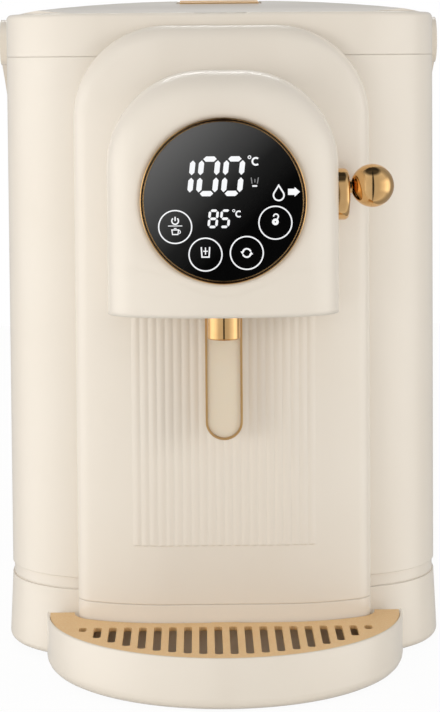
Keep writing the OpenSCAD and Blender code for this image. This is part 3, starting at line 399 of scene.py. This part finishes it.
# White display print, lit from behind: an even soft white with a slight unevenness of the light, grey where it
# idles
litPrint = {
    "tone": "#fdfdfe", "toneDim": "#eef0f3", "cloudMm": 5, "ground": "#3f3f3f", "roughness": 0.3,
    "strengths": {"lit": 0.97, "dim": 0.22},
}
inks = {}
for name, strength in litPrint["strengths"].items():
    inks[name], tree = startMaterial("backlit white print, " + name)
    spot = addNode(tree, "ShaderNodeTexCoord").outputs["Object"]
    cloud = addNode(tree, "ShaderNodeTexNoise", {
        "Vector": spot, "Scale": perMetre(litPrint["cloudMm"]), "Detail": 1})
    tone = addNode(tree, "ShaderNodeMix", {
        "Factor": cloud.outputs["Fac"], 6: linear(litPrint["tone"]), 7: linear(litPrint["toneDim"])},
        data_type="RGBA")
    endMaterial(tree, addNode(tree, "ShaderNodeBsdfPrincipled", {
        "Base Color": linear(litPrint["ground"]), "Roughness": litPrint["roughness"],
        "Emission Color": tone.outputs[2], "Emission Strength": strength}))

# Milky polycarbonate: pale, a little light goes into it and comes out warm
milkyPlastic = {
    "tone": "#e3d6c0", "toneDeep": "#e0d2bb", "cloudMm": 30, "roughness": (0.28, 0.33), "ior": 1.58,
    "scatter": 0.35, "scatterDepthMm": 1.6, "scatterTint": (1.0, 0.75, 0.5), "edgeMm": 0.3,
}
milkyPaddle, tree = startMaterial("moulded milky polycarbonate")
spot = addNode(tree, "ShaderNodeTexCoord").outputs["Object"]
cloud = addNode(tree, "ShaderNodeTexNoise", {
    "Vector": spot, "Scale": perMetre(milkyPlastic["cloudMm"]), "Detail": 3})
tone = addNode(tree, "ShaderNodeMix", {
    "Factor": cloud.outputs["Fac"], 6: linear(milkyPlastic["tone"]), 7: linear(milkyPlastic["toneDeep"])},
    data_type="RGBA")
rough = addNode(tree, "ShaderNodeMapRange", {
    "Value": cloud.outputs["Fac"], **noiseSpan, **between(milkyPlastic["roughness"])})
softEdge = addNode(tree, "ShaderNodeBevel", {
    "Radius": milkyPlastic["edgeMm"] * mm}, samples=edgeSamples["fine"])
endMaterial(tree, addNode(tree, "ShaderNodeBsdfPrincipled", {
    "Base Color": tone.outputs[2], "Roughness": rough.outputs[0], "IOR": milkyPlastic["ior"],
    "Subsurface Weight": milkyPlastic["scatter"], "Subsurface Radius": milkyPlastic["scatterTint"],
    "Subsurface Scale": milkyPlastic["scatterDepthMm"] * mm, "Normal": softEdge.outputs[0]}))

# Brushed stainless steel: grey and bright, with fine lines round the vessel that stretch the reflections
brushedSteelSet = {
    "tone": "#c9c9c8", "toneDeep": "#b4b5b6", "lineMm": 0.5, "lineLengthMm": 60, "lineDepthMm": 0.002,
    "lineStrength": 0.4, "roughness": (0.2, 0.36), "edgeMm": 0.3,
}
brushedSteel, tree = startMaterial("brushed stainless steel")
spot = addNode(tree, "ShaderNodeTexCoord").outputs["Object"]
across, along = perMetre(brushedSteelSet["lineMm"]), perMetre(brushedSteelSet["lineLengthMm"])
lines = addNode(tree, "ShaderNodeMapping", {"Vector": spot, "Scale": (along, along, across)})
brush = addNode(tree, "ShaderNodeTexNoise", {"Vector": lines.outputs[0], "Scale": 1.0, "Detail": 4})
tone = addNode(tree, "ShaderNodeMix", {
    "Factor": brush.outputs["Fac"],
    6: linear(brushedSteelSet["tone"]), 7: linear(brushedSteelSet["toneDeep"])}, data_type="RGBA")
rough = addNode(tree, "ShaderNodeMapRange", {
    "Value": brush.outputs["Fac"], **noiseSpan, **between(brushedSteelSet["roughness"])})
softEdge = addNode(tree, "ShaderNodeBevel", {
    "Radius": brushedSteelSet["edgeMm"] * mm}, samples=edgeSamples["fine"])
bump = addNode(tree, "ShaderNodeBump", {
    "Strength": brushedSteelSet["lineStrength"], "Distance": brushedSteelSet["lineDepthMm"] * mm,
    "Height": brush.outputs["Fac"], "Normal": softEdge.outputs[0]})
endMaterial(tree, addNode(tree, "ShaderNodeBsdfPrincipled", {
    "Base Color": tone.outputs[2], "Metallic": 1.0, "Roughness": rough.outputs[0],
    "Normal": bump.outputs[0]}))

# Plain materials that share one build: a clouded tone, uneven gloss and a fine skin
plainSets = {
    # Drawn steel wire and turned pins: grey with a soft shine
    "drawn steel": {
        "tone": "#b9babd", "toneDeep": "#9fa1a5", "cloudMm": 3, "grainMm": 0.4, "grainDepthMm": 0.002,
        "roughness": (0.24, 0.4), "ior": 1.5, "metallic": 1.0, "scatter": 0.0},
    # Cured silicone rubber: milky, soft and dull, with a trace of dust
    "cured silicone rubber": {
        "tone": "#e6e3dc", "toneDeep": "#d8d4ca", "cloudMm": 12, "grainMm": 0.6, "grainDepthMm": 0.01,
        "roughness": (0.5, 0.65), "ior": 1.41, "metallic": 0.0, "scatter": 0.2},
    # Moulded black rubber: near black, dull and a little grey where it rubs
    "moulded black rubber": {
        "tone": "#191919", "toneDeep": "#262524", "cloudMm": 6, "grainMm": 0.5, "grainDepthMm": 0.02,
        "roughness": (0.65, 0.85), "ior": 1.52, "metallic": 0.0, "scatter": 0.0},
    # Moulded black nylon: dark with a fine eroded grain and a grey sheen
    "moulded black nylon": {
        "tone": "#1b1b1d", "toneDeep": "#232326", "cloudMm": 10, "grainMm": 0.5, "grainDepthMm": 0.015,
        "roughness": (0.45, 0.6), "ior": 1.53, "metallic": 0.0, "scatter": 0.0},
    # Moulded grey acetal: waxy mid grey
    "moulded grey acetal": {
        "tone": "#8b8d90", "toneDeep": "#7f8185", "cloudMm": 8, "grainMm": 0.5, "grainDepthMm": 0.008,
        "roughness": (0.35, 0.5), "ior": 1.48, "metallic": 0.0, "scatter": 0.1},
}
plainSkin = {"grainStrength": 0.5, "scatterDepthMm": 1.0}
plainMaterials = {}
for name, look in plainSets.items():
    plainMaterials[name], tree = startMaterial(name)
    spot = addNode(tree, "ShaderNodeTexCoord").outputs["Object"]
    cloud = addNode(tree, "ShaderNodeTexNoise", {
        "Vector": spot, "Scale": perMetre(look["cloudMm"]), "Detail": 3})
    grain = addNode(tree, "ShaderNodeTexNoise", {
        "Vector": spot, "Scale": perMetre(look["grainMm"]), "Detail": 2})
    tone = addNode(tree, "ShaderNodeMix", {
        "Factor": cloud.outputs["Fac"], 6: linear(look["tone"]), 7: linear(look["toneDeep"])},
        data_type="RGBA")
    rough = addNode(tree, "ShaderNodeMapRange", {
        "Value": cloud.outputs["Fac"], **noiseSpan, **between(look["roughness"])})
    bump = addNode(tree, "ShaderNodeBump", {
        "Strength": plainSkin["grainStrength"], "Distance": look["grainDepthMm"] * mm,
        "Height": grain.outputs["Fac"]})
    endMaterial(tree, addNode(tree, "ShaderNodeBsdfPrincipled", {
        "Base Color": tone.outputs[2], "Roughness": rough.outputs[0], "IOR": look["ior"],
        "Metallic": look["metallic"], "Subsurface Weight": look["scatter"],
        "Subsurface Scale": plainSkin["scatterDepthMm"] * mm, "Normal": bump.outputs[0]}))

# Solder-masked circuit board: green lacquer over paler copper tracks and rows of tinned pads
boardSet = {
    "mask": "#1d5a35", "track": "#2f7d4c", "pad": "#c9c6bb", "roughness": 0.32, "ior": 1.52,
    "trackMm": 2.2, "trackEdge": {"From Min": 0.42, "From Max": 0.46},
    "padMm": 2.54, "padEdge": {"From Min": 0.2, "From Max": 0.16},
}
circuitBoard, tree = startMaterial("solder-masked circuit board")
spot = addNode(tree, "ShaderNodeTexCoord").outputs["Object"]
tracks = addNode(tree, "ShaderNodeTexVoronoi", {
    "Vector": spot, "Scale": perMetre(boardSet["trackMm"])}, distance="CHEBYCHEV", feature="F1")
trackShare = addNode(tree, "ShaderNodeMapRange", {
    "Value": tracks.outputs["Distance"], **boardSet["trackEdge"]})
pads = addNode(tree, "ShaderNodeTexVoronoi", {
    "Vector": spot, "Scale": perMetre(boardSet["padMm"]), "Randomness": 0.0}, feature="F1")
padShare = addNode(tree, "ShaderNodeMapRange", {"Value": pads.outputs["Distance"], **boardSet["padEdge"]})
laid = addNode(tree, "ShaderNodeMix", {
    "Factor": trackShare.outputs[0], 6: linear(boardSet["mask"]), 7: linear(boardSet["track"])},
    data_type="RGBA")
tinned = addNode(tree, "ShaderNodeMix", {
    "Factor": padShare.outputs[0], 6: laid.outputs[2], 7: linear(boardSet["pad"])}, data_type="RGBA")
endMaterial(tree, addNode(tree, "ShaderNodeBsdfPrincipled", {
    "Base Color": tinned.outputs[2], "Metallic": padShare.outputs[0], "Roughness": boardSet["roughness"],
    "IOR": boardSet["ior"]}))
print("other finishes made")

# Every node takes the finish of its real material
finishes = {
    ivories["plain"]: (
        "body_shell", "base_housing", "column_foot", "base_plate", "collar", "mouth_deck", "head_floor",
        "handle_bail", "lid_cover", "steam_vent", "drip_tray"),
    ivories["ribbed"]: ("front_column",),
    ivories["soft"]: ("dispensing_head",),
    golds["mirror"]: ("nozzle", "lever_rosette", "lever_stem", "lever_ball"),
    golds["satin"]: ("cup_lever_rim", "release_lever"),
    golds["paintedGroove"]: ("bezel_ring",),
    sprayedGold: ("drip_grille",),
    smokedGlass: ("display_glass",),
    milkyPaddle: ("cup_paddle",),
    brushedSteel: ("inner_tank", "tank_floor", "lid_liner", "pump_motor", "heater_ring"),
    plainMaterials["drawn steel"]: (
        "base_screws", "lever_bracket", "lever_pin", "lever_spring", "cup_lever_pin", "inlet_pins",
        "handle_pins", "lid_hinge_pin", "release_pin", "latch_spring"),
    plainMaterials["cured silicone rubber"]: ("tank_seal", "suction_hose", "riser_hose", "lid_gasket"),
    plainMaterials["moulded black rubber"]: ("foot_pads",),
    plainMaterials["moulded black nylon"]: (
        "dispense_switch", "cup_switch", "thermostat", "pump_housing", "power_inlet", "handle_washers"),
    plainMaterials["moulded grey acetal"]: ("pump_impeller", "latch_bolt"),
    circuitBoard: ("display_board", "power_board"),
}
for material, names in finishes.items():
    for name in names:
        nodes[name].data.materials.clear()
        nodes[name].data.materials.append(material)

# Flat facets of a rounding shade as one curve, and true edges stay crisp
smoothing = {"joinMm": 0.002, "crispAngle": 28}
smoother = bpy.data.node_groups.new("roundingShade", "GeometryNodeTree")
smoother.is_modifier = True
for way in ("INPUT", "OUTPUT"):
    smoother.interface.new_socket("Geometry", in_out=way, socket_type="NodeSocketGeometry")
given = addNode(smoother, "NodeGroupInput")
joined = addNode(smoother, "GeometryNodeMergeByDistance", {
    "Geometry": given.outputs[0], "Distance": smoothing["joinMm"] * mm})
turn = addNode(smoother, "GeometryNodeInputMeshEdgeAngle")
crisp = addNode(smoother, "FunctionNodeCompare", {
    0: turn.outputs[0], 1: math.radians(smoothing["crispAngle"])}, data_type="FLOAT", operation="GREATER_THAN")
shaded = addNode(smoother, "GeometryNodeSetMeshNormal", {
    "Mesh": joined.outputs[0], "Remove Custom": True, "Edge Sharpness": crisp.outputs[0],
    "Face Sharpness": False}, mode="SHARPNESS")
addNode(smoother, "NodeGroupOutput", {0: shaded.outputs[0]})
for node in nodes.values():
    node.modifiers.new("roundingShade", "NODES").node_group = smoother
print("finishes given to", len(nodes), "nodes")

# Seams: a fine moulded ridge stands on the lower piece's rim, set in a little, and closes the joint behind it, so
# that the line shades softly
seamRidges = {
    "upper_seam_ridge": {"below": "body_shell", "gapMm": 0.3, "insetMm": 0.3},
    "lower_seam_ridge": {"below": "base_housing", "gapMm": 0.4, "insetMm": 1.0},
    "foot_seam_ridge": {"below": "column_foot", "gapMm": 0.2, "insetMm": 0.15},
}
ridgeShape = {"thickMm": 0.5, "sinkMm": 0.05, "clearMm": 0.02, "cutBelowMm": 0.2, "weldMm": 0.001}


def rimOutline(node, height):
    # the node's outermost line at this height, as flat points in order
    build = bmesh.new()
    build.from_mesh(nodes[node].data)
    bmesh.ops.remove_doubles(build, verts=build.verts, dist=ridgeShape["weldMm"] * mm)
    bmesh.ops.bisect_plane(
        build, geom=build.verts[:] + build.edges[:] + build.faces[:], plane_co=(0, 0, height),
        plane_no=(0, 0, 1), clear_inner=True, clear_outer=True)
    loops, left = [], list(build.edges)
    while left:
        first, last = left.pop().verts
        loop = [first.co.xy]
        while last != first:
            loop.append(last.co.xy)
            following = next((edge for edge in last.link_edges if edge in left), None)
            if following is None:
                break
            left.remove(following)
            last = following.other_vert(last)
        loops.append(loop)
    build.free()
    return max(loops, key=lambda loop: max(p.x for p in loop))


def inset(points, depth):
    count = len(points)
    turn = math.copysign(1, sum(points[i - 1].cross(points[i]) for i in range(count)))
    moved = []
    for i, point in enumerate(points):
        before, after = (point - points[i - 1]).normalized(), (points[(i + 1) % count] - point).normalized()
        moved.append(point + mitre(before, after) * turn * depth)
    return moved


for name, ridge in seamRidges.items():
    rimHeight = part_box(ridge["below"])[1].z
    outline = rimOutline(ridge["below"], rimHeight - ridgeShape["cutBelowMm"] * mm)
    outer = inset(outline, ridge["insetMm"] * mm)
    inner = inset(outline, (ridge["insetMm"] + ridgeShape["thickMm"]) * mm)
    foot = rimHeight - ridgeShape["sinkMm"] * mm
    crest = rimHeight + (ridge["gapMm"] - ridgeShape["clearMm"]) * mm
    build = bmesh.new()
    rings = [[build.verts.new((p.x, p.y, z)) for p in line] for line, z in (
        (outer, foot), (outer, crest), (inner, crest), (inner, foot))]
    for k, ring in enumerate(rings):
        for i in range(len(ring)):
            build.faces.new((rings[k - 1][i - 1], rings[k - 1][i], ring[i], ring[i - 1]))
    piece = addObject(name, build, ivories["plain"])
    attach(piece, "pot")
print("seam ridges laid:", len(seamRidges))

# Coil springs: drawn wire with a closed turn at each end, wound between the ends of the spring node each one stands
# in for
coilSprings = {
    "lever_coil": {
        "node": "lever_spring", "body": "pot", "joint": "ball_lever_press", "axis": (0, 0, 1), "fixedEnd": 0,
        "turns": 6, "wireMm": 0.9, "keep": 0.69},
    "latch_coil": {
        "node": "latch_spring", "body": "lid", "joint": "latch_slide", "axis": (0, 1, 0), "fixedEnd": 1,
        "turns": 8, "wireMm": 0.6, "keep": 0.715},
}
coilWinding = {"stepsPerTurn": 24, "wireSides": 8, "closedTurns": 0.75, "closedPitch": 1.08}


def windCoil(ends, spring):
    low, high = ends
    axis, side = Vector(spring["axis"]), Vector((1, 0, 0))
    across = axis.cross(side)
    wire, turns, closed = spring["wireMm"] * mm, spring["turns"], coilWinding["closedTurns"]
    radius = (high.x - low.x - wire) / 2
    closedPitch = wire * coilWinding["closedPitch"]
    openTurns = turns - 2 * closed
    openPitch = ((high - low).dot(axis) - wire - 2 * closed * closedPitch) / openTurns
    middle = (low + high) / 2
    start = middle + axis * ((low - middle).dot(axis) + wire / 2)
    angles = [2 * math.pi * k / coilWinding["wireSides"] for k in range(coilWinding["wireSides"])]
    build = bmesh.new()
    rings = []
    for i in range(turns * coilWinding["stepsPerTurn"] + 1):
        turn = i / coilWinding["stepsPerTurn"]
        opened = min(max(turn - closed, 0), openTurns)
        rise = opened * openPitch + (turn - opened) * closedPitch
        out = side * math.cos(2 * math.pi * turn) + across * math.sin(2 * math.pi * turn)
        centre = start + axis * rise + out * radius
        spokes = [out * math.cos(a) + axis * math.sin(a) for a in angles]
        rings.append([build.verts.new(centre + spoke * wire / 2) for spoke in spokes])
    for ring, following in zip(rings, rings[1:]):
        for k in range(len(ring)):
            build.faces.new((ring[k - 1], ring[k], following[k], following[k - 1])).smooth = True
    build.faces.new(rings[0])
    build.faces.new(rings[-1])
    return build


for name, spring in coilSprings.items():
    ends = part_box(spring["node"])
    piece = addObject(name, windCoil(ends, spring), plainMaterials["drawn steel"])
    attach(piece, spring["body"])
    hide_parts(spring["node"])
    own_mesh(piece)
print("springs wound:", len(coilSprings))

# Display: digits, signs and touch rings printed on the glass, sizes in mm from the middle of the display
display = {
    "thickMm": 0.08,
    "sinkMm": 0.03,
    "rows": {
        "100": {
            "place": (-22.6, 3.6), "size": (7.3, 15.7), "bar": 2.4, "step": 11.3, "slant": 0.11, "split": 0.24},
        "85": {
            "place": (-6.8, -11.6), "size": (3.5, 7.4), "bar": 1.15, "step": 5.4, "slant": 0.1, "split": 0.2},
    },
    "ringRadius": 7.5,
    "ringLine": 0.6,
    "ringSteps": 48,
    "rings": {"power": (-22.0, -11.5), "warm": (-8.3, -24.2), "cycle": (10.5, -23.6), "lock": (23.6, -9.9)},
    "ringSignSize": 0.95,
    # each sign by the display's digits: where it stands and its size
    "units": (
        ("celsius", (14.9, 18.1), 1.0), ("celsius", (7.0, -5.8), 0.8), ("beakerFoot", (14.3, 6.9), 1.0),
        ("drop", (25.2, 3.5), 1.0), ("arrow", (32.1, 4.1), 1.0)),
    "dimUnits": (("beaker", (14.3, 8.9), 1.0),),
}
segments = {"0": "abcdef", "1": "bc", "5": "acdfg", "8": "abcdefg"}


def arcPoints(middle, radius, start, end, steps):
    angles = [math.radians(start + (end - start) * i / steps) for i in range(steps + 1)]
    return [(middle[0] + radius * math.cos(a), middle[1] + radius * math.sin(a)) for a in angles]


def drawnLine(points, width, closed=False):
    # quads along a line, with mitred corners
    points = [Vector(p) for p in points]
    count = len(points)
    sides = []
    for i, point in enumerate(points):
        before = (point - points[i - 1]).normalized() if closed or i > 0 else None
        after = (points[(i + 1) % count] - point).normalized() if closed or i < count - 1 else None
        reach = mitre(before or after, after or before) * width / 2
        sides.append((point + reach, point - reach))
    quads = []
    for i in range(count if closed else count - 1):
        following = sides[(i + 1) % count]
        quads.append([sides[i][0], sides[i][1], following[1], following[0]])
    return quads


def drawnCircle(middle, radius, width, steps):
    return drawnLine(arcPoints(middle, radius, 0, 360, steps)[:-1], width, closed=True)


def segmentDigit(char, place, row):
    w, h = row["size"]
    bar, slant, split = row["bar"], row["slant"], row["bar"] * row["split"]
    ends = {
        "a": ((0, h), (w, h)), "b": ((w, h), (w, h / 2)), "c": ((w, h / 2), (w, 0)), "d": ((0, 0), (w, 0)),
        "e": ((0, h / 2), (0, 0)), "f": ((0, h), (0, h / 2)), "g": ((0, h / 2), (w, h / 2))}
    loops = []
    for key in segments[char]:
        start, end = Vector(ends[key][0]), Vector(ends[key][1])
        along = (end - start).normalized()
        across = Vector((-along.y, along.x)) * bar / 2
        start, end = start + along * split, end - along * split
        inner, outer = start + along * bar / 2, end - along * bar / 2
        loop = [start, inner - across, outer - across, end, outer + across, inner + across]
        loops.append([(place[0] + p.x + slant * p.y, place[1] + p.y) for p in loop])
    return loops


def printOnGlass(name, loops, ink):
    front = glassLow.y - (display["thickMm"] - display["sinkMm"]) * mm
    back = glassLow.y + display["sinkMm"] * mm
    build = bmesh.new()
    for loop in loops:
        rims = [[build.verts.new((p[0] * mm, y, glassMid.z + p[1] * mm)) for p in loop] for y in (front, back)]
        build.faces.new(rims[0])
        build.faces.new(rims[1][::-1])
        for i in range(len(loop)):
            k = (i + 1) % len(loop)
            build.faces.new((rims[0][i], rims[1][i], rims[1][k], rims[0][k]))
    piece = addObject(name, build, ink)
    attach(piece, "pot")


# Each sign round its own middle: drawn lines with their widths, and filled shapes
signs = {
    "celsius": drawnCircle((-2.9, 1.9), 0.65, 0.4, 12) + drawnLine(arcPoints((0, 0), 1.6, 50, 310, 14), 0.845),
    "beaker": (
        drawnLine([(-1.6, 1.9), (-1.2, -0.9)], 0.45) + drawnLine([(1.7, 1.9), (1.2, -0.9)], 0.45)
        + drawnLine([(0.1, 1.2), (0.1, -0.4)], 0.4)),
    "beakerFoot": drawnLine([(-1.1, 0), (1.1, 0)], 0.75),
    "drop": drawnLine([(0, 3.6)] + arcPoints((0, -0.9), 2.4, 28, -208, 18), 0.7, closed=True),
    "arrow": [
        [(-2.7, 1.4), (-2.7, -1.4), (0.3, -1.4), (0.3, 1.4)], [(0.3, 2.2), (0.3, -2.2), (2.8, 0)]],
    "power": (
        drawnLine(arcPoints((0, 2.9), 1.6, 130, 410, 20), 0.65) + drawnLine([(0, 4.9), (0, 2.9)], 0.65)
        + drawnLine([(-3.4, 0.5), (3.4, 0.5)], 0.39)
        + drawnLine([(-1.6, -1.4), (-1.3, -3.6), (1.3, -3.6), (1.6, -1.4)], 0.52, closed=True)
        + drawnLine(arcPoints((1.7, -2.4), 0.8, 80, -80, 6), 0.39)
        + drawnLine([(-0.6, -0.7), (0.6, -0.7)], 0.455)),
    "warm": (
        drawnLine([(-2.0, 3.6), (-1.7, -1.2), (1.7, -1.2), (2.0, 3.6)], 0.65)
        + drawnLine([(0, 3.4), (0, 0.0)], 0.52) + drawnLine([(-1.1, 1.6), (1.1, 1.6)], 0.52)),
    "cycle": (
        drawnLine(arcPoints((0, 0), 2.0, 20, 160, 12), 0.78)
        + drawnLine(arcPoints((0, 0), 2.0, 200, 340, 12), 0.78)
        + [[(-3.0, 0.7), (-1.1, 0.9), (-2.1, -0.7)], [(3.0, -0.7), (1.1, -0.9), (2.1, 0.7)]]),
    "lock": (
        drawnCircle((0, 0.4), 1.0, 1.235, 16)
        + drawnLine([(0.75, 1.5), (1.3, 2.5)] + arcPoints((0.3, 3.0), 1.15, -15, 185, 10), 0.65)),
}
prints = {name: [] for name in (
    "display_digits", "display_units", "display_dim_sign", "touch_rings", "touch_signs")}
for text, row in display["rows"].items():
    for k, char in enumerate(text):
        place = (row["place"][0] + k * row["step"], row["place"][1])
        prints["display_digits"] += segmentDigit(char, place, row)
for place in display["rings"].values():
    prints["touch_rings"] += drawnCircle(
        place, display["ringRadius"], display["ringLine"], display["ringSteps"])
ringSigns = [(sign, place, display["ringSignSize"]) for sign, place in display["rings"].items()]
for name, placed in (
        ("display_units", display["units"]), ("display_dim_sign", display["dimUnits"]), ("touch_signs", ringSigns)):
    for sign, place, size in placed:
        prints[name] += [[(place[0] + p[0] * size, place[1] + p[1] * size) for p in loop] for loop in signs[sign]]
for name, loops in prints.items():
    printOnGlass(name, loops, inks["dim" if name == "display_dim_sign" else "lit"])
print("display printed with", sum(len(loops) for loops in prints.values()), "marks")
